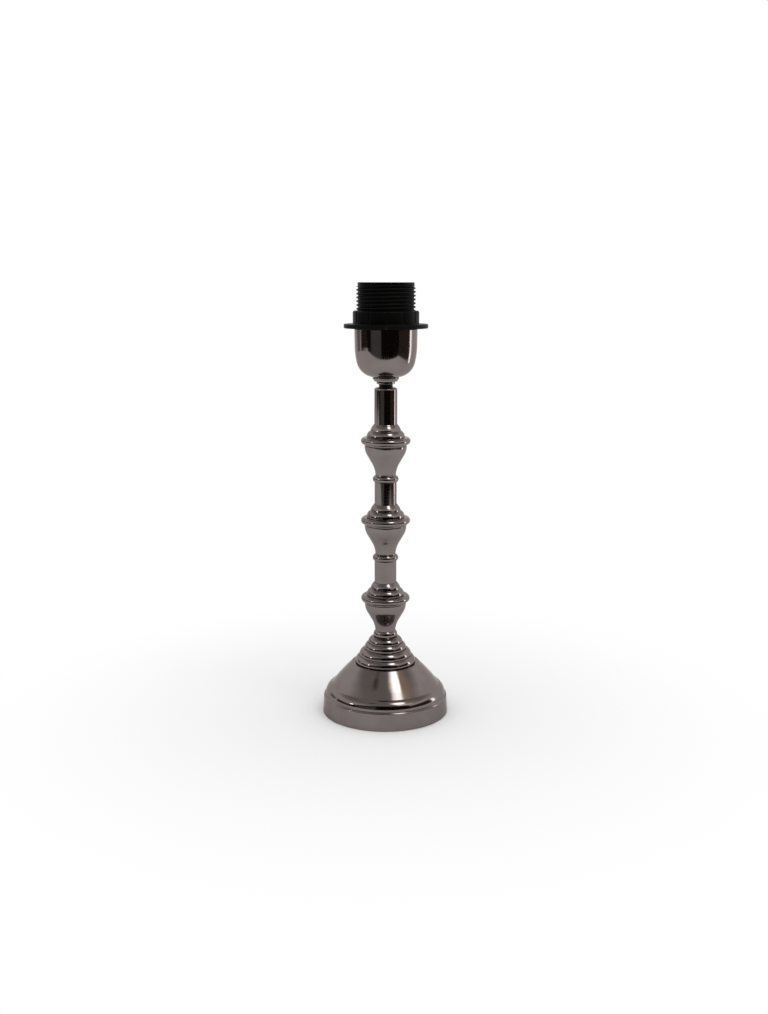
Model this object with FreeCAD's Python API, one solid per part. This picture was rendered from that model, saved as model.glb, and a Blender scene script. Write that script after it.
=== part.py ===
"""Candlestick table lamp: a turned metal column on a weighted foot, with a
threaded lampholder standing in a spun cup and a screw-on shade ring.

Millimetres, +Z up. The origin is the centre of the face it rests on, the
front is -Y and the cable leaves at the back. Every turned piece is drawn as
(radius, height) corners and revolved about Z. Threads are plain cylinders
at their outer size.
"""
import FreeCAD, Part
import math
import os

# ---- driving dimensions ----------------------------------------------------
TOTAL_HEIGHT = 300.0
FOOT_RADIUS = 44.4            # at the lower edge of the rim
FOOT_WALL = 1.5
SEAT_Z = 36.0                 # top of the foot, where the column stands
SEAT_RADIUS = 23.2
LEDGE_Z = 11.6                # flat ring inside the foot that the weight meets

# The column repeats one section: neck bead, urn, crown and tube.
SECTION_PITCH = 55.5
FIRST_CROWN_Z = 82.4          # widest line of the lowest crown
CROWN_RADIUS = 17.05
CROWN_DROP = 3.0              # from its widest line down to the urn
CROWN_RISE = 11.5             # from its widest line up to its neck
URN_HEIGHT = 20.4
URN_RADIUS = 14.55
NECK_RADIUS = 7.1             # narrow end of an urn
BEAD_HEIGHT = 5.2
BEAD_RADIUS = 8.95
TUBE_RADIUS = 7.65
TOP_TUBE_RADIUS = 7.85
TUBE_BORE = 6.2
TUBE_TOP_Z = 230.0

# M10 x 1 hollow rod that ties the column together.
ROD_RADIUS = 5.0
ROD_BORE = 3.5
ROD_FOOT_Z = 5.2
ROD_TOP_Z = 246.5
TAPPED_RADIUS = 5.05
CLEAR_RADIUS = 5.25

# Locating spigots between the turned pieces.
SPIGOT_RADIUS = 8.9
SPIGOT_LENGTH = 1.6
SPIGOT_PLAY = 0.1

CUP_WALL = 0.8
CUP_FLOOR_Z = 236.9
CUP_RIM_Z = 269.3

# E27 lampholder with an M40 x 2.5 outside thread.
THREAD_RADIUS = 20.0
THREAD_ROOT = 18.9
THREAD_FOOT_Z = 265.5
THREAD_TOP_Z = 298.3
THREAD_BREAK = (281.1, 281.8)  # relief just above the ring
MOUTH_RADIUS = 19.1
SOCKET_RADIUS = 13.35
SOCKET_FOOT_Z = 276.0
SOCKET_TOP_Z = 296.2
CHAMBER_RADIUS = 14.6         # below the lamp thread, round the contacts
JACKET_FOOT_Z = 256.0
BLOCK_FOOT_Z = 252.0
BLOCK_TOP_Z = 268.0           # floor of the socket

RING_FOOT_Z = 269.7
RING_FLANGE_RADIUS = 28.4
RING_FLANGE_HEIGHT = 2.8
RING_HUB_RADIUS = 22.35
RING_HUB_TOP_Z = 281.3
RING_BORE = THREAD_RADIUS + 0.1

CONTACT_WIDTH = 5.0
CONTACT_SHEET = 0.5
CENTRE_HINGE = (-8.6, 269.5)  # (x, z) of the root of the centre contact
SIDE_HINGE = (13.4, 269.3)    # (x, z) of the root of the side contact
RIVET_X = 10.6

INLET_Z = 6.6                 # cable bush in the back of the rim
INLET_BORE = 3.1
INLET_BARREL = 4.4
INLET_FLANGE = 5.6


# ---- drawing helpers -------------------------------------------------------
def arc(middle, end):
    """A curved side through middle to end."""
    return ("arc", middle, end)


def plane_point(corner):
    return FreeCAD.Vector(corner[0], 0.0, corner[1])


def outline_face(corners):
    """Closed face in the XZ plane; a corner is (r, z) or an arc."""
    first = corners[0]
    here = first
    edges = []
    for corner in list(corners[1:]) + [first]:
        if corner[0] == "arc":
            middle, end = corner[1], corner[2]
            curve = Part.Arc(plane_point(here), plane_point(middle), plane_point(end))
            edges.append(curve.toShape())
        else:
            end = corner
            if math.dist(here, end) > 1e-6:
                edges.append(Part.LineSegment(plane_point(here), plane_point(end)).toShape())
        here = end
    return Part.Face(Part.Wire(edges))


def turned(corners):
    """Solid of revolution about Z."""
    axis = FreeCAD.Vector(0, 0, 1)
    solid = outline_face(corners).revolve(FreeCAD.Vector(0, 0, 0), axis, 360)
    if solid.Volume < 0:
        solid.reverse()
    return solid


def cylinder(radius, height, base, direction=(0, 0, 1)):
    return Part.makeCylinder(radius, height, FreeCAD.Vector(*base), FreeCAD.Vector(*direction))


def block(x, y, z):
    """Box between (low, high) pairs."""
    size = [high - low for low, high in (x, y, z)]
    return Part.makeBox(size[0], size[1], size[2], FreeCAD.Vector(x[0], y[0], z[0]))


def strip(corners, width):
    """Bent sheet: an XZ outline made width deep across Y."""
    face = outline_face(corners)
    face.translate(FreeCAD.Vector(0, -width / 2, 0))
    return face.extrude(FreeCAD.Vector(0, width, 0))


def crown_z(section):
    return FIRST_CROWN_Z + section * SECTION_PITCH


# ---- foot ------------------------------------------------------------------
def foot_envelope():
    """The foot's outside as a filled body."""
    return turned([
        (0, 0.3), (FOOT_RADIUS, 0.3), (43.6, 12.2), (42.9, 12.8), (42.3, 13.1),
        arc((41.2, 17.3), (38.4, 19.9)), (37.9, 20.1),
        arc((31.8, 27.5), (23.8, 35.8)), (SEAT_RADIUS, SEAT_Z), (0, SEAT_Z)])


def make_foot():
    inside = turned([
        (0, 0), (42.7, 0), (42.2, LEDGE_Z), (41.0, LEDGE_Z),
        arc((39.7, 16.3), (37.3, 18.4)), (36.8, 18.7),
        arc((30.6, 26.4), (22.7, SEAT_Z - FOOT_WALL - 0.4)),
        (22.0, SEAT_Z - FOOT_WALL), (0, SEAT_Z - FOOT_WALL)])
    shell = foot_envelope().cut(inside)
    rod_hole = cylinder(CLEAR_RADIUS, 10, (0, 0, SEAT_Z - 5))
    bush_hole = cylinder(INLET_BARREL + 0.05, 12, (0, 38, INLET_Z), (0, 1, 0))
    return shell.cut(rod_hole).cut(bush_hole)


def make_base_weight():
    """Cast disc with a nut recess and a cable channel in its underside."""
    disc = turned([
        (CLEAR_RADIUS, 2.0), (40.6, 2.0), (41.4, 2.8), (41.4, LEDGE_Z), (39.2, LEDGE_Z),
        (38.4, 15.2), (37.6, 15.8), (9.0, 15.8), (8.0, 15.2), (CLEAR_RADIUS, 15.2)])
    recess = cylinder(12.5, 8.4, (0, 0, 2.0))
    channel = block((-4.0, 4.0), (8.0, 37.0), (2.0, 10.4))
    bush_space = cylinder(INLET_BARREL + 0.4, 10, (0, 37.0, INLET_Z), (0, 1, 0))
    bush_mouth = block((-INLET_BARREL - 0.4, INLET_BARREL + 0.4), (37.0, 45.0), (2.0, INLET_Z))
    return disc.cut(recess).cut(channel).cut(bush_space).cut(bush_mouth)


def make_felt_pad():
    return turned([(0, 0), (40.6, 0), (41.0, 0.4), (41.0, 1.6), (40.6, 2.0), (0, 2.0)])


def make_cable_bush():
    """Snap bush: flange that follows the rim, split barrel left plain."""
    flange = cylinder(INLET_FLANGE, 4.0, (0, 41.3, INLET_Z), (0, 1, 0))
    flange = flange.cut(foot_envelope())
    barrel = cylinder(INLET_BARREL, 6.5, (0, 38.6, INLET_Z), (0, 1, 0))
    bore = cylinder(INLET_BORE, 12, (0, 36, INLET_Z), (0, 1, 0))
    return flange.fuse(barrel).cut(bore).removeSplitter()


# ---- rod and its nut -------------------------------------------------------
def make_stem_rod():
    return turned([
        (ROD_BORE, ROD_FOOT_Z), (ROD_RADIUS - 0.4, ROD_FOOT_Z), (ROD_RADIUS, ROD_FOOT_Z + 0.4),
        (ROD_RADIUS, ROD_TOP_Z - 0.4), (ROD_RADIUS - 0.4, ROD_TOP_Z), (ROD_BORE, ROD_TOP_Z)])


def make_stem_nut():
    across_flats, low, high = 14.0, 6.0, 9.0
    corner = across_flats / math.sqrt(3)
    ring = [FreeCAD.Vector(corner * math.cos(math.radians(60 * i)),
                           corner * math.sin(math.radians(60 * i)), low) for i in range(7)]
    hexagon = Part.Face(Part.makePolygon(ring)).extrude(FreeCAD.Vector(0, 0, high - low))
    rounding = turned([
        (0, low), (corner - 0.8, low), (corner, low + 0.5), (corner, high - 0.5),
        (corner - 0.8, high), (0, high)])
    return hexagon.common(rounding).cut(cylinder(TAPPED_RADIUS, 5, (0, 0, low - 1)))


def make_stem_washer():
    return turned([
        (CLEAR_RADIUS, 9.0), (10.3, 9.0), (10.5, 9.2), (10.5, 10.4), (CLEAR_RADIUS, 10.4)])


# ---- column ----------------------------------------------------------------
def make_stepped_collar():
    """Neck bead over four convex tiers, hollow underneath."""
    return turned([
        (CLEAR_RADIUS, 52.0), (9.0, 50.0), (15.0, 38.0), (15.0, SEAT_Z), (20.9, SEAT_Z),
        (21.3, 36.5), arc((20.5, 39.3), (18.7, 41.0)), (18.3, 40.8), (18.4, 41.3),
        arc((17.4, 44.2), (15.3, 45.8)), (14.6, 45.6), (14.7, 46.2),
        arc((14.0, 48.7), (12.5, 50.2)), (12.0, 50.0), (12.1, 50.6),
        arc((11.2, 53.0), (9.0, 54.5)), (7.9, 54.3),
        arc((8.4, 56.2), (NECK_RADIUS, crown_z(0) - CROWN_DROP - URN_HEIGHT)),
        (CLEAR_RADIUS, crown_z(0) - CROWN_DROP - URN_HEIGHT)])


def make_urn(section):
    """Tapering vase, recessed on top for the crown's spigot."""
    top = crown_z(section) - CROWN_DROP
    foot = top - URN_HEIGHT
    recess = SPIGOT_RADIUS + SPIGOT_PLAY
    return turned([
        (CLEAR_RADIUS, foot), (NECK_RADIUS, foot), (NECK_RADIUS, foot + 0.7),
        arc((8.4, top - 14.8), (10.2, top - 11.4)), (12.65, top - 7.2),
        arc((14.1, top - 3.9), (URN_RADIUS, top - 0.5)), (URN_RADIUS - 0.4, top),
        (recess, top), (recess, top - SPIGOT_LENGTH - 0.2),
        (CLEAR_RADIUS, top - SPIGOT_LENGTH - 0.2)])


def make_crown(section):
    """Half-round flange under two domed steps, with a socket for the tube."""
    z = crown_z(section)
    low = z - CROWN_DROP
    socket = tube_radius(section) + 0.05
    return turned([
        (CLEAR_RADIUS, low - SPIGOT_LENGTH), (SPIGOT_RADIUS, low - SPIGOT_LENGTH),
        (SPIGOT_RADIUS, low), (14.6, low), (14.7, low + 0.7),
        arc((CROWN_RADIUS, z), (13.9, z + 2.3)), (13.1, z + 2.4),
        arc((12.5, z + 5.2), (10.9, z + 6.9)), (10.5, z + 7.0),
        arc((9.7, z + 9.3), (8.4, z + 11.0)), (8.1, z + CROWN_RISE),
        (socket, z + CROWN_RISE), (socket, z + CROWN_RISE - 1.5),
        (CLEAR_RADIUS, z + CROWN_RISE - 1.5)])


def tube_foot(section):
    return crown_z(section) + CROWN_RISE - 1.5


def tube_radius(section):
    return TOP_TUBE_RADIUS if section == 2 else TUBE_RADIUS


def make_tube(section):
    """Plain tube between a crown and the next neck bead."""
    top = crown_z(section + 1) - CROWN_DROP - URN_HEIGHT - BEAD_HEIGHT
    return turned([
        (TUBE_BORE, tube_foot(section)), (TUBE_RADIUS, tube_foot(section)),
        (TUBE_RADIUS, top), (TUBE_BORE, top)])


def make_bead(section):
    """Neck bead under an urn, with a spigot down into the tube."""
    foot = crown_z(section) - CROWN_DROP - URN_HEIGHT - BEAD_HEIGHT
    spigot = TUBE_BORE - 0.05
    return turned([
        (CLEAR_RADIUS, foot - 2.0), (spigot, foot - 2.0), (spigot, foot), (TUBE_RADIUS, foot),
        arc((BEAD_RADIUS, foot + 2.1), (NECK_RADIUS + 0.1, foot + BEAD_HEIGHT - 0.6)),
        (NECK_RADIUS, foot + BEAD_HEIGHT), (CLEAR_RADIUS, foot + BEAD_HEIGHT)])


def make_top_tube():
    """Last tube, closed and tapped at its top: it clamps the column."""
    return turned([
        (TUBE_BORE, tube_foot(2)), (TOP_TUBE_RADIUS, tube_foot(2)),
        (TOP_TUBE_RADIUS, TUBE_TOP_Z - 1.9), arc((7.3, TUBE_TOP_Z - 0.5), (5.8, TUBE_TOP_Z)), (TAPPED_RADIUS, TUBE_TOP_Z),
        (TAPPED_RADIUS, TUBE_TOP_Z - 9.0), (TUBE_BORE, TUBE_TOP_Z - 10.0)])


# ---- cup -------------------------------------------------------------------
def make_lock_nut():
    low, high = 232.4, 234.1
    return turned([
        (TAPPED_RADIUS, low), (6.1, low), (6.3, low + 0.2), (6.3, high - 0.2),
        (6.1, high), (TAPPED_RADIUS, high)])


def make_cup_seat():
    return turned([
        (CLEAR_RADIUS, 234.1), (7.9, 234.1), (8.4, 235.2),
        arc((9.0, 235.9), (8.7, CUP_FLOOR_Z)), (CLEAR_RADIUS, CUP_FLOOR_Z)])


def make_lamp_cup():
    floor, rim, wall = CUP_FLOOR_Z, CUP_RIM_Z, CUP_WALL
    return turned([
        (CLEAR_RADIUS, floor), (9.3, floor), (10.0, floor + 0.2),
        arc((16.75, 240.95), (19.9, 247.2)), arc((20.75, 252.0), (21.15, 257.5)),
        (21.3, 266.0), (21.3, rim - 0.4), arc((20.9, rim), (20.5, rim - 0.4)),
        (20.5, 266.0), (20.35, 257.6),
        arc((19.95, 252.1), (19.15, 247.6)), arc((16.25, 241.65), (9.7, floor + wall + 0.15)),
        (9.1, floor + wall), (CLEAR_RADIUS, floor + wall)])


# ---- lampholder ------------------------------------------------------------
def make_holder_cap():
    """Bottom half: tapped boss, wiring space and a skirt round the jacket."""
    low = CUP_FLOOR_Z + CUP_WALL
    body = turned([
        (TAPPED_RADIUS, low), (8.8, low), (9.4, low + 0.6),
        arc((14.9, 242.5), (17.9, 248.0)), arc((18.7, 252.0), (19.2, 258.0)), (19.3, 262.0),
        (17.7, 262.0), (17.7, BLOCK_FOOT_Z), (15.6, BLOCK_FOOT_Z), (15.3, 248.5),
        arc((13.4, 244.4), (10.0, 241.8)), (8.2, 241.4), (8.2, 247.5), (TAPPED_RADIUS, 247.5)])
    screw_hole = cylinder(1.55, 6, (4.5, 0, 244.6), (1, 0, 0))
    return body.cut(screw_hole)


def make_lock_screw():
    """Headless screw in the boss that keeps the rod from turning."""
    body = cylinder(1.5, 3.6, (5.05, 0, 244.6), (1, 0, 0))
    slot = block((8.0, 9.0), (-1.6, 1.6), (244.35, 244.85))
    return body.cut(slot)


def make_holder_jacket():
    """Threaded sleeve that the lamp screws into and the ring screws onto."""
    return turned([
        (CHAMBER_RADIUS, JACKET_FOOT_Z), (17.6, JACKET_FOOT_Z), (17.6, 262.0), (19.3, 262.0),
        (19.3, THREAD_FOOT_Z), (THREAD_RADIUS, THREAD_FOOT_Z),
        (THREAD_RADIUS, THREAD_BREAK[0]), (THREAD_ROOT, THREAD_BREAK[0]),
        (THREAD_ROOT, THREAD_BREAK[1]), (THREAD_RADIUS, THREAD_BREAK[1]),
        (THREAD_RADIUS, THREAD_TOP_Z),
        (MOUTH_RADIUS, THREAD_TOP_Z + 0.3), (MOUTH_RADIUS, TOTAL_HEIGHT - 0.3),
        (MOUTH_RADIUS - 0.3, TOTAL_HEIGHT), (17.6, TOTAL_HEIGHT), (17.2, TOTAL_HEIGHT - 0.4),
        (16.8, 298.4), (SOCKET_RADIUS, SOCKET_TOP_Z), (SOCKET_RADIUS, SOCKET_FOOT_Z),
        (CHAMBER_RADIUS, SOCKET_FOOT_Z)])


def make_contact_block():
    """Insulator clamped between cap and jacket, slotted for the contacts."""
    body = turned([
        (0, BLOCK_FOOT_Z), (17.4, BLOCK_FOOT_Z), (17.4, JACKET_FOOT_Z), (14.4, JACKET_FOOT_Z),
        (14.4, BLOCK_TOP_Z - 0.4), (14.0, BLOCK_TOP_Z), (0, BLOCK_TOP_Z)])
    for side in (-1, 1):
        body = body.cut(block(ordered(side * 11.4, side * 12.2), (-2.6, 2.6), (250, 270)))
        body = body.cut(cylinder(0.8, 2, (side * RIVET_X, 0, BLOCK_TOP_Z - 1.2)))
        body = body.cut(cylinder(1.6, 20, (0, side * 5.5, 250)))
    return body


def ordered(a, b):
    return (min(a, b), max(a, b))


def make_terminal(side, leg, tab):
    """Brass terminal: tab on the floor, leg through the block, clamp below."""
    width = (-2.5, 2.5)
    floor = (BLOCK_TOP_Z, BLOCK_TOP_Z + 0.6)
    plate = block(ordered(side * tab[0], side * tab[1]), width, floor)
    stem = block(ordered(side * (leg - 0.3), side * (leg + 0.3)), width, (248.0, floor[1]))
    clamp = block(ordered(side * 8.6, side * (leg + 0.3)), width, (246.6, BLOCK_FOOT_Z))
    wire_hole = cylinder(1.1, 8, (side * 10.0, 0, 245.0))
    screw_hole = cylinder(1.05, 8, (side * 10.0, -5, 249.3), (0, 1, 0))
    rivet_hole = cylinder(0.8, 3, (side * RIVET_X, 0, BLOCK_TOP_Z - 1))
    solid = plate.fuse(stem).fuse(clamp)
    return solid.cut(wire_hole).cut(screw_hole).cut(rivet_hole).removeSplitter()


def make_terminal_screws():
    screws = []
    for side in (-1, 1):
        head = cylinder(1.6, 1.0, (side * 10.0, -3.5, 249.3), (0, 1, 0))
        shank = cylinder(1.0, 2.4, (side * 10.0, -2.5, 249.3), (0, 1, 0))
        screws.append(head.fuse(shank).removeSplitter())
    return Part.makeCompound(screws)


def make_contact_rivets():
    rivets = []
    for x in (-RIVET_X, RIVET_X):
        shank = cylinder(0.75, 1.6, (x, 0, BLOCK_TOP_Z - 1.0))
        head = cylinder(1.1, 0.4, (x, 0, BLOCK_TOP_Z + 0.6))
        rivets.append(shank.fuse(head).removeSplitter())
    return Part.makeCompound(rivets)


def make_centre_contact():
    """Leaf that rises from its root to a button on the lamp's axis."""
    x, z = CENTRE_HINGE
    sheet = CONTACT_SHEET
    leaf = strip([
        (x, z - sheet / 2), (-1.6, 272.2), (1.6, 272.2), (3.0, 271.3), (3.3, 271.7),
        (1.8, 272.2 + sheet), (-1.8, 272.2 + sheet), (x, z + sheet / 2)], CONTACT_WIDTH)
    root = cylinder(0.6, CONTACT_WIDTH, (x, -CONTACT_WIDTH / 2, z), (0, 1, 0))
    button = turned([(0, 272.4), (2.0, 272.4), (2.0, 273.0), (1.1, 273.6), (0, 273.6)])
    return leaf.fuse([root, button]).removeSplitter()


def make_side_contact():
    """Upright leaf whose bend presses on the side of the lamp cap."""
    x, z = SIDE_HINGE
    sheet = CONTACT_SHEET
    leaf = strip([
        (x - sheet / 2, z), (x - sheet / 2, 271.0), (12.2, 273.4), (13.0, 275.5),
        (13.5, 275.4), (12.75, 273.4), (x + sheet / 2, 271.2), (x + sheet / 2, z)], CONTACT_WIDTH)
    root = cylinder(0.5, CONTACT_WIDTH, (x, -CONTACT_WIDTH / 2, z), (0, 1, 0))
    return leaf.fuse(root).removeSplitter()


# ---- shade ring ------------------------------------------------------------
def make_shade_ring():
    low = RING_FOOT_Z
    flange_top = low + RING_FLANGE_HEIGHT
    edge = RING_FLANGE_RADIUS
    return turned([
        (RING_BORE, low + 0.4), (RING_BORE + 0.4, low), (edge - 0.5, low), (edge, low + 0.5),
        (edge, flange_top - 0.5), (edge - 0.5, flange_top), (RING_HUB_RADIUS + 0.1, flange_top),
        (RING_HUB_RADIUS, flange_top + 0.3), (RING_HUB_RADIUS, RING_HUB_TOP_Z - 1.2),
        arc((22.0, 280.95), (21.15, RING_HUB_TOP_Z)), (RING_BORE + 0.4, RING_HUB_TOP_Z),
        (RING_BORE, RING_HUB_TOP_Z - 0.4)])


# ---- assembly --------------------------------------------------------------
def build_nodes():
    return {
        "foot": make_foot(),
        "base_weight": make_base_weight(),
        "felt_pad": make_felt_pad(),
        "cable_bush": make_cable_bush(),
        "stem_rod": make_stem_rod(),
        "stem_nut": make_stem_nut(),
        "stem_washer": make_stem_washer(),
        "stepped_collar": make_stepped_collar(),
        "lower_urn": make_urn(0),
        "lower_crown": make_crown(0),
        "lower_tube": make_tube(0),
        "lower_bead": make_bead(1),
        "middle_urn": make_urn(1),
        "middle_crown": make_crown(1),
        "middle_tube": make_tube(1),
        "upper_bead": make_bead(2),
        "upper_urn": make_urn(2),
        "upper_crown": make_crown(2),
        "top_tube": make_top_tube(),
        "lock_nut": make_lock_nut(),
        "cup_seat": make_cup_seat(),
        "lamp_cup": make_lamp_cup(),
        "holder_cap": make_holder_cap(),
        "holder_jacket": make_holder_jacket(),
        "contact_block": make_contact_block(),
        "centre_terminal": make_terminal(-1, 11.8, (9.5, 12.1)),
        "side_terminal": make_terminal(1, 11.8, (9.0, 12.5)),
        "terminal_screws": make_terminal_screws(),
        "contact_rivets": make_contact_rivets(),
        "lock_screw": make_lock_screw(),
        "centre_contact": make_centre_contact(),
        "side_contact": make_side_contact(),
        "shade_ring": make_shade_ring(),
    }


def main():
    os.makedirs("parts", exist_ok=True)
    for name, shape in build_nodes().items():
        if not shape.isValid():
            raise ValueError(name + " is not a valid solid")
        shape.exportStep("parts/" + name + ".step")
        print(name, len(shape.Solids), round(shape.Volume / 1000, 2), "cm3")


main()
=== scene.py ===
"""Candlestick table lamp: turned black-nickel column, weighted foot, spun cup
and threaded lampholder. Metres, +Z up, front at -Y, the rest face at z = 0.

Every turned piece is drawn as (radius, height) corners in millimetres, then
spun about Z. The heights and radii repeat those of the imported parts.
"""
import math
import bmesh
import bpy
from mathutils import Matrix, Vector, noise


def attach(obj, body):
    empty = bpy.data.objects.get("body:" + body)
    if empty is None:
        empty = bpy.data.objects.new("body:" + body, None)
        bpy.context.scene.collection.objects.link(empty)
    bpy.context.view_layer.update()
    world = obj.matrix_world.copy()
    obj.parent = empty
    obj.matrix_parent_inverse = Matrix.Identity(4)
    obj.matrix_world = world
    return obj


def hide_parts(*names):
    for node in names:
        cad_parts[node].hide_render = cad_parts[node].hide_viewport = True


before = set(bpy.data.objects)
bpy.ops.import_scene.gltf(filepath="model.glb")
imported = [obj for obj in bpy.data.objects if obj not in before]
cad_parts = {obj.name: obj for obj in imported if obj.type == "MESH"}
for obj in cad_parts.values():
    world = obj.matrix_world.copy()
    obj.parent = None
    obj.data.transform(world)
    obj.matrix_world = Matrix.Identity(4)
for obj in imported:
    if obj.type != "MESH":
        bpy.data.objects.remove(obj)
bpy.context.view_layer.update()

MM = 0.001

# ---- sizes shared by several pieces, in millimetres -------------------------
FOOT_TOP_Z = 36.0
SECTION_PITCH = 55.5          # from crown to crown
FIRST_CROWN_Z = 82.4
CROWN_DROP = 3.0              # from the middle of a crown to the urn below
CROWN_RISE = 11.5             # from the middle of a crown to the tube above
URN_HEIGHT = 20.4
BEAD_HEIGHT = 5.2
TUBE_RADIUS = 7.65
TOP_TUBE_RADIUS = 7.85
NECK_RADIUS = 7.1
TUBE_BORE = 6.2
TUBE_TOP_Z = 230.0
ROD_RADIUS = 5.0
CLEAR_RADIUS = 5.25           # clears the rod
TAPPED_RADIUS = 5.05          # screwed onto the rod
SPIGOT_RADIUS = 8.9
SPIGOT_LENGTH = 1.6
ROD_SHOWN_FROM = 229.0
ROD_SHOWN_TO = 233.6
NUT_FOOT_Z = 232.4
SEAT_FOOT_Z = 234.1
CUP_FLOOR_Z = 236.9
CUP_RIM_Z = 269.3
SOCKET_RADIUS = 13.35
RING_BORE = 20.1
HUB_RADIUS = 22.35
FLANGE_TOP_Z = 272.5

HOLDER_PITCH = 2.5            # M40 thread outside the lampholder
HOLDER_CREST = 20.0
HOLDER_ROOT = 18.85
THREAD_END = math.radians(20)   # where the outside thread runs out
LAST_CREST_Z = 297.64
LAMP_PITCH = 3.62             # round E27 thread in the socket
ROD_PITCH = 1.0
GRIP_STEP = math.radians(30)    # between the grooves of the shade ring
GRIP_DEPTH = 0.4
GRIP_FROM_R = 21.6
GRIP_FROM_Z = 272.9

SPIN_STEPS = 144
ARC_STEP = math.radians(4.0)
SMOOTH_LIMIT = math.radians(38.0)

# ---- textures, in features per metre ------------------------------------------
LATHE_RINGS = 9000.0
SMEARS = 55.0
SPECKS = 1900.0

# ---- picture -------------------------------------------------------------------
CAMERA_PLACE = (-0.0011, -0.7958, 0.2999)
CAMERA_TILT = math.radians(90 - 10.866)
CAMERA_ROLL = math.radians(0.1)
FOCAL_LENGTH = 1170.0 / 1014.0  # in picture heights
SENSOR_HEIGHT = 36.0
FLOOR_RADIUS = 6.0
FLOOR_TONE = (0.93, 0.93, 0.93, 1.0)
FLOOR_FADE = (0.07, 0.30)       # from plain floor to white, in metres
SKY_LEVEL = 0.92                # on whatever isn't seen or mirrored
DARK_ROOM = (1.0, 0.75, 0.62)
WARM = (1.0, 0.96, 0.92)
AMBER = (1.0, 0.80, 0.60)
WHITE = (1.0, 1.0, 1.0)


# ---- outlines ----------------------------------------------------------------
def arc(middle, end):
    """A curved side through middle to end."""
    return ("arc", middle, end)


def soft(corner, radius):
    """A corner with its own rounding."""
    return ("soft", corner, radius)


def arc_corners(start, middle, end):
    """Points of the circle through three points, start left out."""
    ax, az = start
    bx, bz = middle
    cx, cz = end
    d = 2 * (ax * (bz - cz) + bx * (cz - az) + cx * (az - bz))
    a2, b2, c2 = ax * ax + az * az, bx * bx + bz * bz, cx * cx + cz * cz
    ux = (a2 * (bz - cz) + b2 * (cz - az) + c2 * (az - bz)) / d
    uz = (a2 * (cx - bx) + b2 * (ax - cx) + c2 * (bx - ax)) / d
    radius = math.hypot(ax - ux, az - uz)
    first = math.atan2(az - uz, ax - ux)
    through = (math.atan2(bz - uz, bx - ux) - first) % (2 * math.pi)
    sweep = (math.atan2(cz - uz, cx - ux) - first) % (2 * math.pi)
    if through > sweep:
        sweep -= 2 * math.pi
    count = max(3, math.ceil(abs(sweep) / ARC_STEP))
    turns = [first + sweep * i / count for i in range(1, count)]
    return [(ux + radius * math.cos(t), uz + radius * math.sin(t)) for t in turns] + [end]


def draw_outline(bm, corners, rounding):
    """Face in the XZ plane from (r, z) corners, its sharp corners rounded."""
    ring = []
    rounded = {}
    here = None
    for corner in corners:
        if corner[0] == "arc":
            points = arc_corners(here, corner[1], corner[2])
            size = rounding
        elif corner[0] == "soft":
            points = [corner[1]]
            size = corner[2]
        else:
            points = [corner]
            size = rounding
        for point in points:
            ring.append(bm.verts.new((point[0] * MM, 0, point[1] * MM)))
        here = points[-1]
        if size and here[0] > 0.01:
            rounded.setdefault(size, []).append(ring[-1])
    bm.faces.new(ring)
    for size, verts in rounded.items():
        bmesh.ops.bevel(bm, geom=verts, affect="VERTICES", offset=size * MM,
                        segments=3, profile=0.5, material=-1, clamp_overlap=False)


def split_long_sides(bm, longest):
    """Adds points along the outline's long sides, for a clean spin."""
    for edge in list(bm.edges):
        cuts = int(edge.calc_length() / (longest * MM))
        if cuts:
            bmesh.ops.subdivide_edges(bm, edges=[edge], cuts=cuts)


def spin_outline(bm, steps):
    """Spins the outline round Z and closes the shell."""
    bmesh.ops.delete(bm, geom=list(bm.faces), context="FACES_ONLY")
    axis_sides = [e for e in bm.edges if max(abs(v.co.x) for v in e.verts) < 1e-7]
    bmesh.ops.delete(bm, geom=axis_sides, context="EDGES")
    bmesh.ops.spin(bm, geom=list(bm.verts) + list(bm.edges), cent=(0, 0, 0), axis=(0, 0, 1),
                   dvec=(0, 0, 0), angle=2 * math.pi, steps=steps, use_merge=True,
                   use_duplicate=False)
    bmesh.ops.remove_doubles(bm, verts=list(bm.verts), dist=1e-7)
    bmesh.ops.recalc_face_normals(bm, faces=list(bm.faces))


def finish_piece(name, bm, material, node, body):
    """Turns the shell into the piece that stands for a part."""
    for face in bm.faces:
        face.smooth = True
    for edge in bm.edges:
        edge.smooth = edge.is_manifold and edge.calc_face_angle(0.0) < SMOOTH_LIMIT
    mesh = bpy.data.meshes.new(name)
    bm.to_mesh(mesh)
    bm.free()
    piece = bpy.data.objects.new(name, mesh)
    bpy.context.scene.collection.objects.link(piece)
    mesh.materials.append(material)
    weigh = piece.modifiers.new("even_shading", "WEIGHTED_NORMAL")
    weigh.keep_sharp = True
    weigh.weight = 50
    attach(piece, body)
    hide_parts(node)
    return piece


def turn_piece(name, corners, material, node, body="lamp", rounding=0.12,
               steps=SPIN_STEPS, longest=6.0, shaping=None):
    """A turned piece from its outline."""
    bm = bmesh.new()
    draw_outline(bm, corners, rounding)
    split_long_sides(bm, longest)
    spin_outline(bm, steps)
    if shaping:
        shaping(bm)
    return finish_piece(name, bm, material, node, body)


def thread_wave(z, angle, pitch, flat):
    """0 at the root and 1 at the crest of a thread with rounded flats."""
    phase = (z / pitch - angle / (2 * math.pi)) % 1.0
    rise = 0.5 - 0.5 * math.cos(2 * math.pi * phase)
    steep = (rise - 0.5) * flat + 0.5
    return min(1.0, max(0.0, steep))


def ease(value, low, high):
    """0 below low, 1 above high and smooth between them."""
    t = min(1.0, max(0.0, (value - low) / (high - low)))
    return t * t * (3 - 2 * t)


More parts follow.
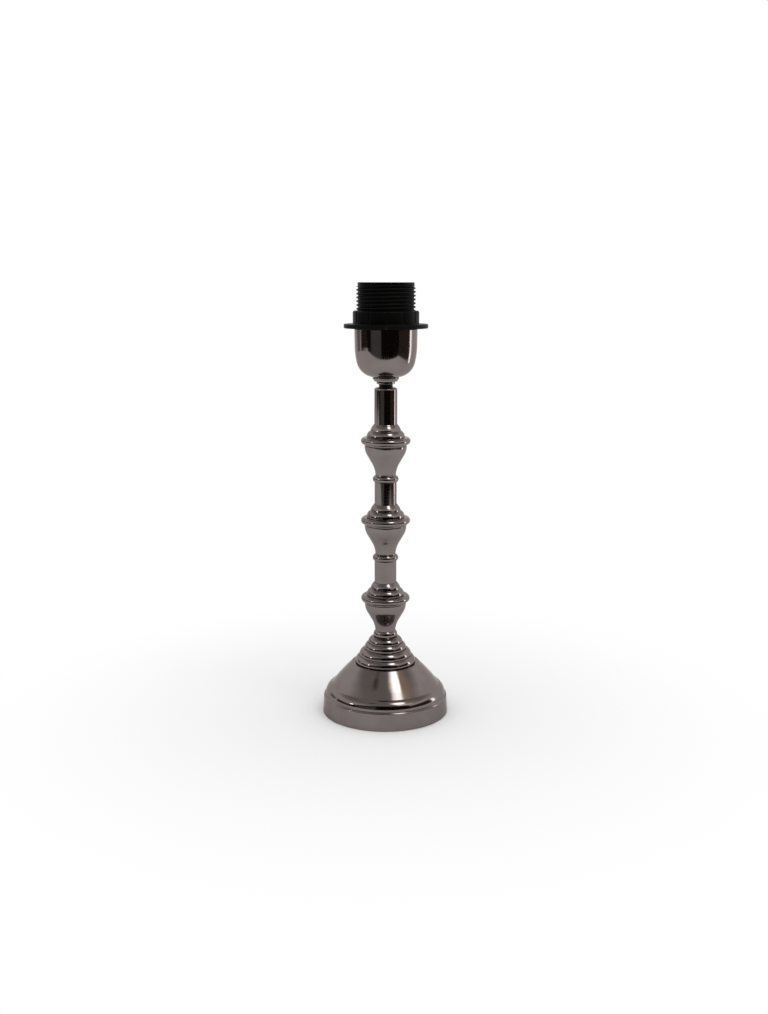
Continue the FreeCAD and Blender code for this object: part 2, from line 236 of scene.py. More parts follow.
def cut_thread(bm, radius, depth, pitch, low, high, run, flat):
    """Cuts a thread into the cylinder of that radius between two heights."""
    for vert in bm.verts:
        r = math.hypot(vert.co.x, vert.co.y) / MM
        z = vert.co.z / MM
        if abs(r - radius) > 0.02 or not low < z < high:
            continue
        angle = math.atan2(vert.co.y, vert.co.x)
        share = ease(z, low, low + run) * ease(-z, -high, run - high)
        moved = radius - depth * share * (1 - thread_wave(z, angle, pitch, flat))
        vert.co.x *= moved / r
        vert.co.y *= moved / r


def end_thread(bm, radius, plain, pitch, top, end_angle):
    """Turns away the thread above its last crest, which runs out at an angle."""
    for vert in bm.verts:
        r = math.hypot(vert.co.x, vert.co.y) / MM
        z = vert.co.z / MM
        if not plain - 0.5 < r < radius + 0.02 or not top - 2 * pitch < z < top + pitch:
            continue
        angle = math.atan2(vert.co.y, vert.co.x)
        back = ((end_angle - angle) / (2 * math.pi)) % 1.0
        above = z - (top - pitch * back)
        keep = 1 - ease(above, 0.35 * pitch, 0.5 * pitch)
        if above > -0.5 * pitch:
            keep = min(keep, ease(back, 0.0, 0.12))
        moved = plain + (r - plain) * keep
        vert.co.x *= moved / r
        vert.co.y *= moved / r


# ---- shared effects ----------------------------------------------------------
def new_group(name, inputs, outputs):
    """Empty node group with float inputs and the outputs given."""
    group = bpy.data.node_groups.new(name, "ShaderNodeTree")
    for label, value in inputs:
        socket = group.interface.new_socket(label, in_out="INPUT", socket_type="NodeSocketFloat")
        socket.default_value = value
    for label, kind in outputs:
        group.interface.new_socket(label, in_out="OUTPUT", socket_type=kind)
    source = group.nodes.new("NodeGroupInput")
    result = group.nodes.new("NodeGroupOutput")
    return group, source, result


def add_math(tree, operation, first, second):
    """Math node; each value is a number or a socket."""
    node = tree.nodes.new("ShaderNodeMath")
    node.operation = operation
    for socket, value in zip(node.inputs, (first, second)):
        if isinstance(value, (int, float)):
            socket.default_value = value
        else:
            tree.links.new(value, socket)
    return node.outputs[0]


def add_noise(tree, vector, scale, detail, roughness=0.55):
    """Noise at a place, about 0.5 in the middle."""
    node = tree.nodes.new("ShaderNodeTexNoise")
    node.inputs["Scale"].default_value = scale
    node.inputs["Detail"].default_value = detail
    node.inputs["Roughness"].default_value = roughness
    tree.links.new(vector, node.inputs["Vector"])
    return node.outputs["Fac"]


def add_range(tree, value, low, high, to_low, to_high):
    """Moves a value from one range to another and keeps it inside."""
    node = tree.nodes.new("ShaderNodeMapRange")
    node.inputs["From Min"].default_value = low
    node.inputs["From Max"].default_value = high
    node.inputs["To Min"].default_value = to_low
    node.inputs["To Max"].default_value = to_high
    tree.links.new(value, node.inputs["Value"])
    return node.outputs["Result"]


def make_lathe_marks():
    """Fine rings round the axis, as polishing on a lathe leaves them."""
    group, source, result = new_group(
        "lathe_marks", [("Rings", 1.0), ("Waver", 1.0)], [("Height", "NodeSocketFloat")])
    place = group.nodes.new("ShaderNodeTexCoord").outputs["Object"]
    split = group.nodes.new("ShaderNodeSeparateXYZ")
    group.links.new(place, split.inputs[0])
    x, y, z = split.outputs
    radius = add_math(group, "SQRT", add_math(group, "ADD", add_math(group, "MULTIPLY", x, x),
                                              add_math(group, "MULTIPLY", y, y)), 0.0)
    rings = add_math(group, "MULTIPLY", source.outputs["Rings"], LATHE_RINGS)
    join = group.nodes.new("ShaderNodeCombineXYZ")
    group.links.new(add_math(group, "MULTIPLY", radius, rings), join.inputs["X"])
    group.links.new(add_math(group, "MULTIPLY", z, rings), join.inputs["Z"])
    turn = add_math(group, "ARCTAN2", y, x)
    bend = add_math(group, "MULTIPLY", add_math(group, "COSINE", turn, 0.0),
                    source.outputs["Waver"])
    group.links.new(bend, join.inputs["Y"])
    group.links.new(add_noise(group, join.outputs[0], 1.0, 2.0), result.inputs["Height"])
    return group


def make_handling():
    """Faint smears and spots left by hands and cloths."""
    group, source, result = new_group(
        "handling", [("Size", 1.0)],
        [("Smear", "NodeSocketFloat"), ("Specks", "NodeSocketFloat")])
    place = group.nodes.new("ShaderNodeTexCoord").outputs["Object"]
    size = group.nodes.new("ShaderNodeVectorMath")
    size.operation = "SCALE"
    group.links.new(place, size.inputs[0])
    group.links.new(source.outputs["Size"], size.inputs["Scale"])
    broad = add_noise(group, size.outputs[0], SMEARS, 4.0, 0.6)
    fine = add_noise(group, size.outputs[0], SPECKS, 2.0, 0.5)
    group.links.new(add_range(group, broad, 0.38, 0.68, 0.0, 1.0), result.inputs["Smear"])
    group.links.new(add_range(group, fine, 0.66, 0.74, 0.0, 1.0), result.inputs["Specks"])
    return group


def make_edge_wear_and_groove_shade():
    """Lighter wear on sharp outer edges, and painted shade that darkens the grooves."""
    group, source, result = new_group(
        "edge_wear_and_groove_shade", [("Reach", 1.0)],
        [("Edge", "NodeSocketFloat"), ("GrooveShade", "NodeSocketFloat")])
    shape = group.nodes.new("ShaderNodeNewGeometry").outputs["Pointiness"]
    away = add_math(group, "SUBTRACT", shape, 0.5)
    scaled = add_math(group, "MULTIPLY", away, source.outputs["Reach"])
    group.links.new(add_range(group, scaled, 0.01, 0.09, 0.0, 1.0), result.inputs["Edge"])
    # The groove output is painted shade: darker in the hollows that the mesh's pointiness finds.
    group.links.new(add_range(group, scaled, -0.09, -0.01, 1.0, 0.0), result.inputs["GrooveShade"])
    return group


LATHE_MARKS = make_lathe_marks()
HANDLING = make_handling()
EDGE_WEAR_AND_GROOVE_SHADE = make_edge_wear_and_groove_shade()


# ---- materials ---------------------------------------------------------------
class Finish:
    """A material under construction: its tree, shader and small helpers."""

    def __init__(self, name, metallic, roughness):
        self.material = bpy.data.materials.new(name)
        self.material.use_nodes = True
        self.tree = self.material.node_tree
        self.shader = self.tree.nodes["Principled BSDF"]
        self.shader.inputs["Metallic"].default_value = metallic
        self.shader.inputs["Roughness"].default_value = roughness

    def effect(self, group, **values):
        """Outputs of a shared effect, with its inputs set."""
        node = self.tree.nodes.new("ShaderNodeGroup")
        node.node_tree = group
        for label, value in values.items():
            node.inputs[label].default_value = value
        return node.outputs

    def place(self):
        return self.tree.nodes.new("ShaderNodeTexCoord").outputs["Object"]

    def blend(self, share, first, second):
        """Colour that goes from first to second as share goes from 0 to 1."""
        node = self.tree.nodes.new("ShaderNodeMix")
        node.data_type = "RGBA"
        self.tree.links.new(share, node.inputs[0])
        for socket, value in ((node.inputs[6], first), (node.inputs[7], second)):
            if isinstance(value, tuple):
                socket.default_value = value + (1.0,)
            else:
                self.tree.links.new(value, socket)
        return node.outputs[2]

    def bump(self, height, depth):
        """Bump as deep as the given millimetres."""
        node = self.tree.nodes.new("ShaderNodeBump")
        node.inputs["Distance"].default_value = depth * MM
        node.inputs["Strength"].default_value = 1.0
        self.tree.links.new(height, node.inputs["Height"])
        self.tree.links.new(node.outputs[0], self.shader.inputs["Normal"])

    def feed(self, label, value):
        """Joins a value to one input of the shader."""
        self.tree.links.new(value, self.shader.inputs[label])


def make_black_nickel():
    """Polished dark plating: warm grey, with smears and faint lathe rings."""
    finish = Finish("black_nickel", 1.0, 0.12)
    finish.shader.inputs["Specular Tint"].default_value = (0.70, 0.67, 0.66, 1.0)
    marks = finish.effect(LATHE_MARKS, Rings=1.0, Waver=0.4)
    hands = finish.effect(HANDLING, Size=1.0)
    edges = finish.effect(EDGE_WEAR_AND_GROOVE_SHADE, Reach=1.0)
    colour = finish.blend(hands["Smear"], (0.205, 0.178, 0.172), (0.180, 0.152, 0.145))
    colour = finish.blend(add_math(finish.tree, "MULTIPLY", hands["Specks"], 0.25), colour,
                          (0.11, 0.09, 0.085))
    colour = finish.blend(add_math(finish.tree, "MULTIPLY", edges["Edge"], 0.35), colour,
                          (0.30, 0.28, 0.27))
    # painted shade: the grooves darkened almost to black
    colour = finish.blend(add_math(finish.tree, "MULTIPLY", edges["GrooveShade"], 0.75), colour,
                          (0.05, 0.038, 0.034))
    finish.feed("Base Color", colour)
    finish.feed("Roughness", add_range(finish.tree, hands["Smear"], 0.0, 1.0, 0.08, 0.14))
    finish.bump(marks["Height"], 0.0010)
    return finish.material


def make_black_plastic():
    """Moulded thermoset: satin black with a fine grain and rubbed edges."""
    finish = Finish("black_plastic", 0.0, 0.42)
    finish.shader.inputs["Specular IOR Level"].default_value = 0.045
    hands = finish.effect(HANDLING, Size=0.8)
    edges = finish.effect(EDGE_WEAR_AND_GROOVE_SHADE, Reach=1.0)
    grain = add_noise(finish.tree, finish.place(), 2600.0, 3.0, 0.6)
    colour = finish.blend(hands["Smear"], (0.0016, 0.0015, 0.0014), (0.0030, 0.0028, 0.0026))
    colour = finish.blend(add_math(finish.tree, "MULTIPLY", edges["Edge"], 0.5), colour,
                          (0.022, 0.021, 0.021))
    finish.feed("Base Color", colour)
    finish.feed("Roughness", add_range(finish.tree, hands["Smear"], 0.0, 1.0, 0.36, 0.5))
    finish.bump(grain, 0.02)
    return finish.material


def make_zinc_steel():
    """Black zinc-plated steel for the rod, nuts and screws."""
    finish = Finish("zinc_steel", 1.0, 0.3)
    marks = finish.effect(LATHE_MARKS, Rings=0.6, Waver=1.0)
    hands = finish.effect(HANDLING, Size=2.0)
    edges = finish.effect(EDGE_WEAR_AND_GROOVE_SHADE, Reach=1.0)
    colour = finish.blend(hands["Smear"], (0.050, 0.046, 0.044), (0.030, 0.027, 0.025))
    # painted shade: the grooves darkened
    colour = finish.blend(add_math(finish.tree, "MULTIPLY", edges["GrooveShade"], 0.6), colour,
                          (0.018, 0.015, 0.012))
    finish.feed("Base Color", colour)
    finish.feed("Roughness", add_range(finish.tree, hands["Smear"], 0.0, 1.0, 0.26, 0.42))
    finish.bump(marks["Height"], 0.006)
    return finish.material


def make_cast_iron():
    """Sand-cast grey iron with a pitted skin."""
    finish = Finish("cast_iron", 0.6, 0.62)
    broad = add_noise(finish.tree, finish.place(), 120.0, 4.0)
    pits = add_noise(finish.tree, finish.place(), 900.0, 3.0, 0.65)
    colour = finish.blend(broad, (0.10, 0.098, 0.095), (0.17, 0.155, 0.14))
    colour = finish.blend(add_range(finish.tree, pits, 0.52, 0.72, 0.0, 0.8), colour,
                          (0.055, 0.045, 0.038))
    finish.feed("Base Color", colour)
    finish.feed("Roughness", add_range(finish.tree, pits, 0.3, 0.7, 0.5, 0.78))
    finish.bump(pits, 0.25)
    return finish.material


def make_felt():
    """Pressed black felt: short fibres in every direction."""
    finish = Finish("felt", 0.0, 0.95)
    finish.shader.inputs["Sheen Weight"].default_value = 0.35
    finish.shader.inputs["Sheen Roughness"].default_value = 0.6
    place = finish.place()
    fibres = add_noise(finish.tree, place, 1500.0, 5.0, 0.75)
    clumps = add_noise(finish.tree, place, 160.0, 3.0, 0.6)
    height = add_math(finish.tree, "ADD", fibres, add_math(finish.tree, "MULTIPLY", clumps, 0.6))
    finish.feed("Base Color", finish.blend(fibres, (0.012, 0.013, 0.014), (0.036, 0.037, 0.038)))
    finish.feed("Roughness", add_range(finish.tree, clumps, 0.3, 0.7, 0.88, 1.0))
    finish.bump(height, 0.35)
    return finish.material


def make_brass(name, light, dark, low, high):
    """Brass sheet or rod with a slight tarnish."""
    finish = Finish(name, 1.0, 0.3)
    hands = finish.effect(HANDLING, Size=3.0)
    edges = finish.effect(EDGE_WEAR_AND_GROOVE_SHADE, Reach=1.0)
    streaks = add_noise(finish.tree, finish.place(), 700.0, 3.0)
    colour = finish.blend(hands["Smear"], light, dark)
    # painted shade: the grooves darkened to a tarnish brown
    colour = finish.blend(add_math(finish.tree, "MULTIPLY", edges["GrooveShade"], 0.4), colour,
                          (0.12, 0.08, 0.03))
    finish.feed("Base Color", colour)
    finish.feed("Roughness", add_range(finish.tree, hands["Smear"], 0.0, 1.0, low, high))
    finish.bump(streaks, 0.01)
    return finish.material


NICKEL = make_black_nickel()
PLASTIC = make_black_plastic()
STEEL = make_zinc_steel()
IRON = make_cast_iron()
FELT = make_felt()
BRASS = make_brass("brass", (0.55, 0.40, 0.17), (0.40, 0.27, 0.11), 0.24, 0.42)
SPRING_BRASS = make_brass("spring_brass", (0.62, 0.43, 0.22), (0.48, 0.31, 0.15), 0.18, 0.34)


# ---- foot --------------------------------------------------------------------
def make_foot():
    """Spun shell: rim, rolled shoulder and flared top, turned in at the seat."""
    return turn_piece("foot_shell", [
        (42.7, 0.3), soft((44.4, 0.3), 0.35), soft((43.6, 12.2), 0.3), (42.9, 12.8), (42.3, 13.1),
        arc((41.2, 17.3), (38.4, 19.9)), (37.9, 20.1),
        arc((31.8, 27.5), (23.8, 35.8)), soft((23.2, FOOT_TOP_Z), 0.2),
        (CLEAR_RADIUS, FOOT_TOP_Z), (CLEAR_RADIUS, FOOT_TOP_Z - 1.5),
        (22.0, FOOT_TOP_Z - 1.5), (22.7, 34.1), arc((30.6, 26.4), (36.8, 18.7)), (37.3, 18.4),
        arc((39.7, 16.3), (41.0, 11.6)), (42.2, 11.6)],
        NICKEL, "foot", steps=192, longest=3.0)


def roughen_felt(bm):
    """Uneven nap on the felt, kept inside its disc."""
    tufts = 900.0
    for vert in bm.verts:
        lift = noise.noise(vert.co * tufts) * 0.5 + 0.5
        inward = 1 - 0.006 * lift
        vert.co.x *= inward
        vert.co.y *= inward
        if vert.co.z > 0.5 * MM:
            vert.co.z -= 0.12 * MM * lift
        else:
            vert.co.z += 0.08 * MM * lift


def make_felt_pad():
    """Disc with a rounded edge and an uneven nap."""
    return turn_piece("felt_disc", [
        (0, 0), (40.6, 0), arc((41.0, 1.0), (40.6, 2.0)), (0, 2.0)],
        FELT, "felt_pad", steps=160, longest=1.5, shaping=roughen_felt)


# ---- column ------------------------------------------------------------------
def crown_z(section):
    """Height of the middle of a section's crown."""
    return FIRST_CROWN_Z + section * SECTION_PITCH


def tube_radius(section):
    """The tube above the top crown is a little thicker."""
    return TOP_TUBE_RADIUS if section == 2 else TUBE_RADIUS


def make_stepped_collar():
    """Neck bead over four convex tiers, hollow underneath."""
    top = crown_z(0) - CROWN_DROP - URN_HEIGHT
    return turn_piece("collar_tiers", [
        (20.9, FOOT_TOP_Z), (21.3, 36.5), arc((20.5, 39.3), (18.7, 41.0)), (18.3, 40.8),
        (18.4, 41.3), arc((17.4, 44.2), (15.3, 45.8)), (14.6, 45.6), (14.7, 46.2),
        arc((14.0, 48.7), (12.5, 50.2)), (12.0, 50.0), (12.1, 50.6),
        arc((11.2, 53.0), (9.0, 54.5)), (7.9, 54.3), arc((8.4, 56.2), (NECK_RADIUS, top)),
        (CLEAR_RADIUS, top), (CLEAR_RADIUS, 52.0), (9.0, 50.0), (15.0, 38.0), (15.0, FOOT_TOP_Z)],
        NICKEL, "stepped_collar", rounding=0.1)


def make_urn(name, section):
    """Tapering vase, recessed on top for the crown's spigot."""
    top = crown_z(section) - CROWN_DROP
    foot = top - URN_HEIGHT
    recess = SPIGOT_RADIUS + 0.1
    floor = top - SPIGOT_LENGTH - 0.2
    return turn_piece(name + "_body", [
        (CLEAR_RADIUS, foot), (NECK_RADIUS, foot), (NECK_RADIUS, foot + 0.7),
        arc((8.4, top - 14.8), (10.2, top - 11.4)), (12.65, top - 7.2),
        arc((14.1, top - 3.9), (14.55, top - 0.5)), (14.15, top), (recess, top),
        (recess, floor), (CLEAR_RADIUS, floor)],
        NICKEL, name)


def make_crown(name, section):
    """Half-round flange under two domed steps."""
    z = crown_z(section)
    low = z - CROWN_DROP
    socket = tube_radius(section) + 0.05
    return turn_piece(name + "_rings", [
        (CLEAR_RADIUS, low - SPIGOT_LENGTH), (SPIGOT_RADIUS, low - SPIGOT_LENGTH),
        (SPIGOT_RADIUS, low), (14.6, low), (14.7, low + 0.7),
        arc((17.05, z), (13.9, z + 2.3)), (13.1, z + 2.4),
        arc((12.5, z + 5.2), (10.9, z + 6.9)), (10.5, z + 7.0),
        arc((9.7, z + 9.3), (8.4, z + 11.0)), (8.1, z + CROWN_RISE),
        (socket, z + CROWN_RISE), (socket, z + CROWN_RISE - 1.5),
        (CLEAR_RADIUS, z + CROWN_RISE - 1.5)],
        NICKEL, name, rounding=0.1)


def make_tube(name, section):
    """Plain sleeve between a crown and the next bead."""
    low = crown_z(section) + CROWN_RISE - 1.5
    top = crown_z(section + 1) - CROWN_DROP - URN_HEIGHT - BEAD_HEIGHT
    return turn_piece(name + "_sleeve", [
        (TUBE_BORE, low), (TUBE_RADIUS, low), (TUBE_RADIUS, top), (TUBE_BORE, top)],
        NICKEL, name, longest=2.0)


def make_bead(name, section):
    """Neck bead under an urn, with its spigot."""
    foot = crown_z(section) - CROWN_DROP - URN_HEIGHT - BEAD_HEIGHT
    spigot = TUBE_BORE - 0.05
    return turn_piece(name + "_ring", [
        (CLEAR_RADIUS, foot - 2.0), (spigot, foot - 2.0), (spigot, foot), (TUBE_RADIUS, foot),
        arc((8.95, foot + 2.1), (7.2, foot + 4.6)), (NECK_RADIUS, foot + BEAD_HEIGHT),
        (CLEAR_RADIUS, foot + BEAD_HEIGHT)],
        NICKEL, name, rounding=0.1)


def make_top_tube():
    """Last tube, with a rounded and tapped end."""
    low = crown_z(2) + CROWN_RISE - 1.5
    return turn_piece("top_tube_sleeve", [
        (TUBE_BORE, low), (TOP_TUBE_RADIUS, low), (TOP_TUBE_RADIUS, TUBE_TOP_Z - 1.9),
        arc((7.3, TUBE_TOP_Z - 0.5), (5.8, TUBE_TOP_Z)), (TAPPED_RADIUS, TUBE_TOP_Z),
        (TAPPED_RADIUS, TUBE_TOP_Z - 9.0), (TUBE_BORE, TUBE_TOP_Z - 10.0)],
        NICKEL, "top_tube", longest=2.0)


# ---- rod and cup -------------------------------------------------------------
def thread_rod(bm):
    cut_thread(bm, ROD_RADIUS, 0.55, ROD_PITCH, ROD_SHOWN_FROM, ROD_SHOWN_TO, 0.3, 1.3)


def make_stem_rod():
    """Hollow rod, with its thread cut where it shows below the cup."""
    fine = [soft((ROD_RADIUS, ROD_SHOWN_FROM + 0.1 * i), 0) for i in range(47)]
    return turn_piece("threaded_rod", [
        (3.5, 5.2), (4.6, 5.2), (ROD_RADIUS, 5.6)] + fine + [
        (ROD_RADIUS, 246.1), (4.6, 246.5), (3.5, 246.5)],
        STEEL, "stem_rod", steps=96, longest=12.0, shaping=thread_rod)


def make_lock_nut():
    """Thin round nut on the rod."""
    return turn_piece("thin_nut", [
        (TAPPED_RADIUS, NUT_FOOT_Z), (6.3, NUT_FOOT_Z), (6.3, SEAT_FOOT_Z),
        (TAPPED_RADIUS, SEAT_FOOT_Z)],
        NICKEL, "lock_nut", rounding=0.2)


def make_cup_seat():
    """Turned ring that the cup stands on."""
    return turn_piece("cup_seat_ring", [
        (CLEAR_RADIUS, SEAT_FOOT_Z), (7.9, SEAT_FOOT_Z), (8.4, 235.2),
        arc((9.0, 235.9), (8.7, CUP_FLOOR_Z)), (CLEAR_RADIUS, CUP_FLOOR_Z)],
        NICKEL, "cup_seat", rounding=0.1)


def make_lamp_cup():
    """Spun cup with a rounded lip."""
    floor, rim, wall = CUP_FLOOR_Z, CUP_RIM_Z, 0.8
    return turn_piece("spun_cup", [
        (CLEAR_RADIUS, floor), (9.3, floor), soft((10.0, floor + 0.2), 0.25),
        arc((16.75, 240.95), (19.9, 247.2)), arc((20.75, 252.0), (21.15, 257.5)),
        soft((21.3, 266.0), 0), soft((21.3, rim - 0.4), 0),
        arc((20.9, rim), (20.5, rim - 0.4)), soft((20.5, 266.0), 0),
        soft((20.35, 257.6), 0), arc((19.95, 252.1), (19.15, 247.6)),
        arc((16.25, 241.65), (9.7, floor + wall + 0.15)),
        (9.1, floor + wall), (CLEAR_RADIUS, floor + wall)],
        NICKEL, "lamp_cup", steps=176, longest=2.0)


# ---- lampholder --------------------------------------------------------------
def thread_jacket(bm):
    """The ring's thread outside, run out below the top, and the lamp's inside."""
    cut_thread(bm, HOLDER_CREST, HOLDER_CREST - HOLDER_ROOT, HOLDER_PITCH,
               267.0, 299.5, 0.6, 1.5)
    end_thread(bm, HOLDER_CREST, 19.05, HOLDER_PITCH, LAST_CREST_Z, THREAD_END)
    cut_thread(bm, SOCKET_RADIUS, -1.0, LAMP_PITCH, 276.1, 296.1, 1.6, 1.0)


def make_holder_jacket():
    """Sleeve with the ring's thread outside and the lamp's thread inside."""
    outside = [soft((HOLDER_CREST, 267.0 + 0.2 * i), 0) for i in range(156)]
    inside = [soft((SOCKET_RADIUS, 296.2 - 0.25 * i), 0) for i in range(1, 81)]
    return turn_piece("threaded_sleeve", [
        (14.6, 256.0), (17.6, 256.0), (17.6, 262.0), (19.3, 262.0), (19.3, 265.5),
        (HOLDER_CREST, 265.5)] + outside + [
        soft((HOLDER_CREST, 298.3), 0.1), soft((19.1, 298.6), 0.1), soft((19.1, 299.7), 0.15),
        soft((18.8, 300.0), 0.12), soft((17.6, 300.0), 0.15), (17.2, 299.6), (16.8, 298.4),
        soft((SOCKET_RADIUS, 296.2), 0.1)] + inside + [(SOCKET_RADIUS, 276.0), (14.6, 276.0)],
        PLASTIC, "holder_jacket", steps=128, longest=8.0,
        shaping=thread_jacket)


def thread_ring(bm):
    """Inside thread, and grip grooves down the hub."""
    cut_thread(bm, RING_BORE, 0.95, HOLDER_PITCH, 270.0, 281.0, 0.7, 1.5)
    for vert in bm.verts:
        r = math.hypot(vert.co.x, vert.co.y) / MM
        z = vert.co.z / MM
        if r < GRIP_FROM_R or z < GRIP_FROM_Z:
            continue
        angle = math.atan2(vert.co.y, vert.co.x)
        off = (angle / GRIP_STEP + 0.5) % 1.0 - 0.5
        groove = 1 - ease(abs(off) * GRIP_STEP * r, 0.25, 0.75)
        share = groove * ease(z, GRIP_FROM_Z, 274.2) * ease(r, GRIP_FROM_R, 22.1)
        moved = r - GRIP_DEPTH * share
        vert.co.x *= moved / r
        vert.co.y *= moved / r


def make_shade_ring():
    """Flanged ring that clamps a shade, with grip grooves in its hub."""
    bore = [soft((RING_BORE, 280.9 - 0.22 * i), 0) for i in range(1, 49)]
    hub = [soft((HUB_RADIUS, 273.2 + 0.6 * i), 0) for i in range(12)]
    return turn_piece("shade_clamp_ring", [
        (RING_BORE, 270.1), (20.5, 269.7), soft((28.4, 269.7), 0.4),
        soft((28.4, FLANGE_TOP_Z), 0.45), soft((HUB_RADIUS, FLANGE_TOP_Z), 0.25)] + hub + [
        soft((HUB_RADIUS, 280.1), 0), arc((22.0, 280.95), (21.15, 281.3)), (20.5, 281.3),
        (RING_BORE, 280.9)] + bore,
        PLASTIC, "shade_ring", body="ring", steps=288, longest=2.5,
        shaping=thread_ring)


# ---- floor, light and camera ---------------------------------------------------
def glow_material(name, strength, colour):
    """Light that fades into what lies behind it, by the "glow" of its points."""
    material = bpy.data.materials.new(name)
    material.use_nodes = True
    tree = material.node_tree
    tree.nodes.remove(tree.nodes["Principled BSDF"])
    light = tree.nodes.new("ShaderNodeEmission")
    light.inputs["Color"].default_value = colour + (1.0,)
    light.inputs["Strength"].default_value = strength
    share = tree.nodes.new("ShaderNodeAttribute")
    share.attribute_name = "glow"
    fade = tree.nodes.new("ShaderNodeMapRange")
    fade.interpolation_type = "SMOOTHSTEP"
    tree.links.new(share.outputs["Fac"], fade.inputs["Value"])
    clear = tree.nodes.new("ShaderNodeBsdfTransparent")
    mix = tree.nodes.new("ShaderNodeMixShader")
    tree.links.new(fade.outputs["Result"], mix.inputs[0])
    tree.links.new(clear.outputs[0], mix.inputs[1])
    tree.links.new(light.outputs[0], mix.inputs[2])
    tree.links.new(mix.outputs[0], tree.nodes["Material Output"].inputs["Surface"])
    return material


def seen_or_mirrored(tree):
    """1 for what the camera sees, directly or in metal and glass."""
    path = tree.nodes.new("ShaderNodeLightPath").outputs
    both = add_math(tree, "ADD", path["Is Camera Ray"], path["Is Glossy Ray"])
    total = add_math(tree, "ADD", both, path["Is Transmission Ray"])
    return add_math(tree, "MINIMUM", total, 1.0)


def make_floor():
    """Pale floor that fades to white away from the lamp."""
    bm = bmesh.new()
    bmesh.ops.create_circle(bm, cap_ends=True, segments=96, radius=FLOOR_RADIUS)
    mesh = bpy.data.meshes.new("floor")
    bm.to_mesh(mesh)
    bm.free()
    floor = bpy.data.objects.new("floor", mesh)
    bpy.context.scene.collection.objects.link(floor)
    material = bpy.data.materials.new("pale_floor")
    material.use_nodes = True
    tree = material.node_tree
    shader = tree.nodes["Principled BSDF"]
    shader.inputs["Base Color"].default_value = FLOOR_TONE
    shader.inputs["Roughness"].default_value = 0.9
    shader.inputs["Specular IOR Level"].default_value = 0.0
    place = tree.nodes.new("ShaderNodeTexCoord").outputs["Object"]
    length = tree.nodes.new("ShaderNodeVectorMath")
    length.operation = "LENGTH"
    tree.links.new(place, length.inputs[0])
    far = tree.nodes.new("ShaderNodeMapRange")
    far.interpolation_type = "SMOOTHSTEP"
    far.inputs["From Min"].default_value = FLOOR_FADE[0]
    far.inputs["From Max"].default_value = FLOOR_FADE[1]
    tree.links.new(length.outputs["Value"], far.inputs["Value"])
    glow = tree.nodes.new("ShaderNodeEmission")
    share = add_math(tree, "MULTIPLY", far.outputs["Result"], seen_or_mirrored(tree))
    mix = tree.nodes.new("ShaderNodeMixShader")
    tree.links.new(share, mix.inputs[0])
    tree.links.new(shader.outputs[0], mix.inputs[1])
    tree.links.new(glow.outputs[0], mix.inputs[2])
    tree.links.new(mix.outputs[0], tree.nodes["Material Output"].inputs["Surface"])
    mesh.materials.append(material)


def make_world():
    """White to the camera and to metal, soft and even on everything else."""
    world = bpy.data.worlds.new("studio")
    world.use_nodes = True
    bpy.context.scene.world = world
    tree = world.node_tree
    background = tree.nodes["Background"]
    background.inputs["Color"].default_value = WHITE + (1.0,)
    strength = add_range(tree, seen_or_mirrored(tree), 0.0, 1.0, SKY_LEVEL, 1.0)
    tree.links.new(strength, background.inputs["Strength"])


def make_card(name, start, end, height, strength, colour, feather):
    """Upright card on the floor between two points; it only shows in metal.

    The feather is how far the start side, the end side and the top fade.
    """
    bm = bmesh.new()
    bmesh.ops.create_grid(bm, x_segments=48, y_segments=24, size=0.5)
    length = math.dist(start, end)
    glow = bm.verts.layers.float.new("glow")
    for vert in bm.verts:
        along = vert.co.x + 0.5
        up = (vert.co.y + 0.5) * height
        edges = (along * length, (1 - along) * length, height - up)
        vert[glow] = min(gap / width if width else 1.0 for gap, width in zip(edges, feather))
        vert.co = (start[0] + (end[0] - start[0]) * along,
                   start[1] + (end[1] - start[1]) * along, up)
    add_glowing_card(name, bm, strength, colour)


def add_glowing_card(name, bm, strength, colour):
    """Makes the card or lamp from its mesh; only reflections show it."""
    mesh = bpy.data.meshes.new(name)
    bm.to_mesh(mesh)
    bm.free()
    card = bpy.data.objects.new(name, mesh)
    bpy.context.scene.collection.objects.link(card)
    mesh.materials.append(glow_material(name, strength, colour))
    card.visible_camera = False
    card.visible_diffuse = False
    card.visible_shadow = False
    card.visible_transmission = False


def make_overhead(name, place, radius, strength, colour, core):
    """Round lamp or ceiling, turned to the object; it only shows in metal.

    The core is the share of the radius that doesn't fade.
    """
    bm = bmesh.new()
    bmesh.ops.create_circle(bm, cap_ends=True, cap_tris=True, segments=48, radius=radius)
    glow = bm.verts.layers.float.new("glow")
    for vert in bm.verts:
        vert[glow] = (1 - vert.co.length / radius) / (1 - core)
    turn = Vector(place).to_track_quat("Z", "Y").to_matrix()
    bmesh.ops.rotate(bm, verts=list(bm.verts), cent=(0, 0, 0), matrix=turn)
    bmesh.ops.translate(bm, verts=list(bm.verts), vec=place)
    add_glowing_card(name, bm, strength, colour)


def make_soft_box(name, place, target, size, power):
    """Rectangular soft box aimed at a point."""
    light = bpy.data.lights.new(name, "AREA")
    light.shape = "RECTANGLE"
    light.size, light.size_y = size
    light.energy = power
    box = bpy.data.objects.new(name, light)
    box.location = place
    box.rotation_euler = (Vector(target) - Vector(place)).to_track_quat("-Z", "Y").to_euler()
    bpy.context.scene.collection.objects.link(box)


def make_camera():
    """Level with the lamp's top and tilted down, as the picture was taken."""
    lens = bpy.data.cameras.new("camera")
    lens.sensor_fit = "VERTICAL"
    lens.sensor_height = SENSOR_HEIGHT
    lens.lens = SENSOR_HEIGHT * FOCAL_LENGTH
    camera = bpy.data.objects.new("camera", lens)
    camera.location = CAMERA_PLACE
    tilt = Matrix.Rotation(CAMERA_TILT, 3, "X")
    roll = Matrix.Rotation(CAMERA_ROLL, 3, "Z")
    camera.rotation_euler = (tilt @ roll).to_euler()
    bpy.context.scene.collection.objects.link(camera)
    bpy.context.scene.camera = camera


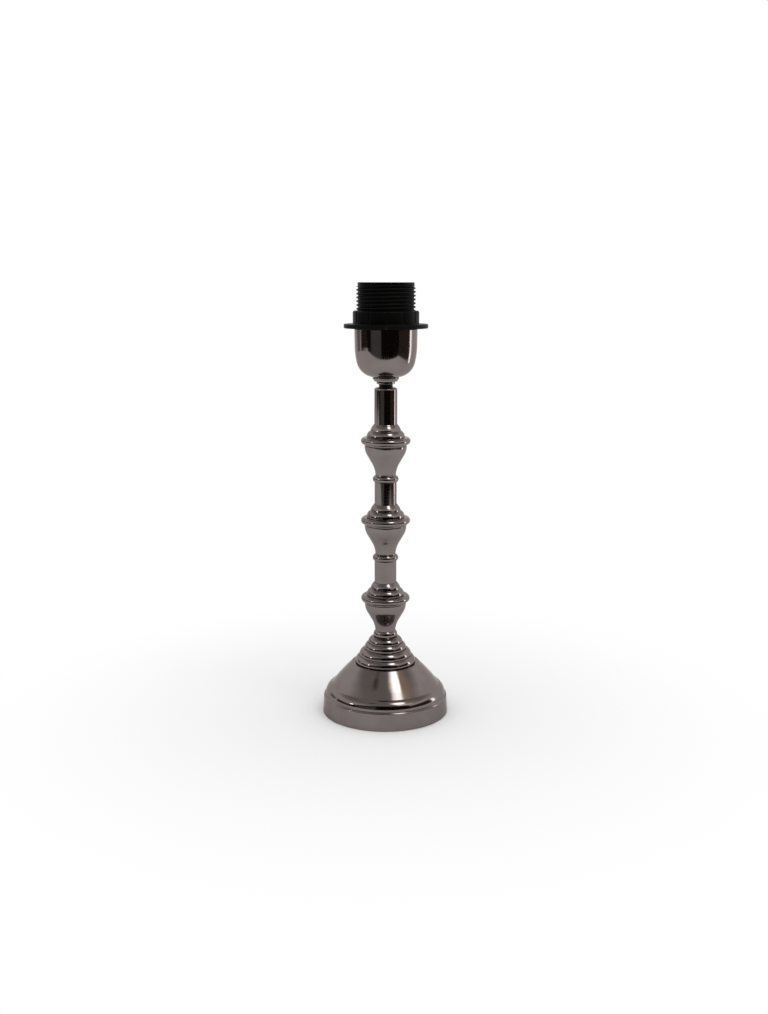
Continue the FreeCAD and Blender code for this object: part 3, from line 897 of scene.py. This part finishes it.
def finish_packed_parts():
    """Gives the parts that stay as packed their finishes."""
    kept = {
        IRON: ["base_weight"],
        STEEL: ["stem_nut", "stem_washer", "lock_screw", "terminal_screws"],
        PLASTIC: ["cable_bush", "holder_cap", "contact_block"],
        BRASS: ["centre_terminal", "side_terminal", "contact_rivets"],
        SPRING_BRASS: ["centre_contact", "side_contact"]}
    for material, names in kept.items():
        for name in names:
            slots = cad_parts[name].data.materials
            slots.clear()
            slots.append(material)


make_foot()
make_felt_pad()
make_stepped_collar()
for section, name in enumerate(("lower", "middle", "upper")):
    make_urn(name + "_urn", section)
    make_crown(name + "_crown", section)
make_tube("lower_tube", 0)
make_tube("middle_tube", 1)
make_bead("lower_bead", 1)
make_bead("upper_bead", 2)
make_top_tube()
make_stem_rod()
make_lock_nut()
make_cup_seat()
make_lamp_cup()
make_holder_jacket()
make_shade_ring()

finish_packed_parts()

make_floor()
make_world()

# The room round the lamp, as its metal mirrors it.
make_card("dark_wall", (-1.9, -0.60), (0.66, -0.60), 0.62, 0.012, DARK_ROOM, (0, 0, 0.16))
make_card("front_left_panel", (-1.00, -0.58), (-0.165, -0.58), 0.42, 0.15, WHITE, (0.3, 0.03, 0.12))
make_card("left_wall", (-1.9, 0.6), (-1.9, -0.60), 0.7, 0.05, DARK_ROOM, (0.3, 0, 0.3))
make_card("left_rear_panel", (-1.5, 1.4), (-1.9, 0.6), 0.7, 0.35, WHITE, (0.3, 0.1, 0.3))
make_card("right_wall", (0.66, -0.60), (0.76, 0.09), 0.42, 0.07, DARK_ROOM, (0, 0, 0.12))
make_card("right_strip", (0.775, 0.05), (0.73, 0.24), 0.36, 5.0, WHITE, (0.09, 0.06, 0.1))
make_overhead("ceiling", (0.0, 0.0, 1.9), 2.8, 0.44, WARM, 0.5)
make_overhead("right_glow", (0.85, -0.40, 1.35), 0.6, 0.75, AMBER, 0.2)
make_overhead("dark_beam", (-0.42, -0.52, 1.30), 0.20, 0.16, DARK_ROOM, 0.1)
make_overhead("right_lamp", (0.54, -0.56, 1.45), 0.46, 10.0, WHITE, 0.0)
make_overhead("left_lamp", (-1.23, -0.49, 0.53), 0.08, 20.0, WARM, 0.4)
make_soft_box("key_light", (0.9, -0.9, 1.7), (0, 0, 0.15), (1.0, 1.0), 5.0)
make_camera()

bpy.context.scene.view_settings.view_transform = "Standard"
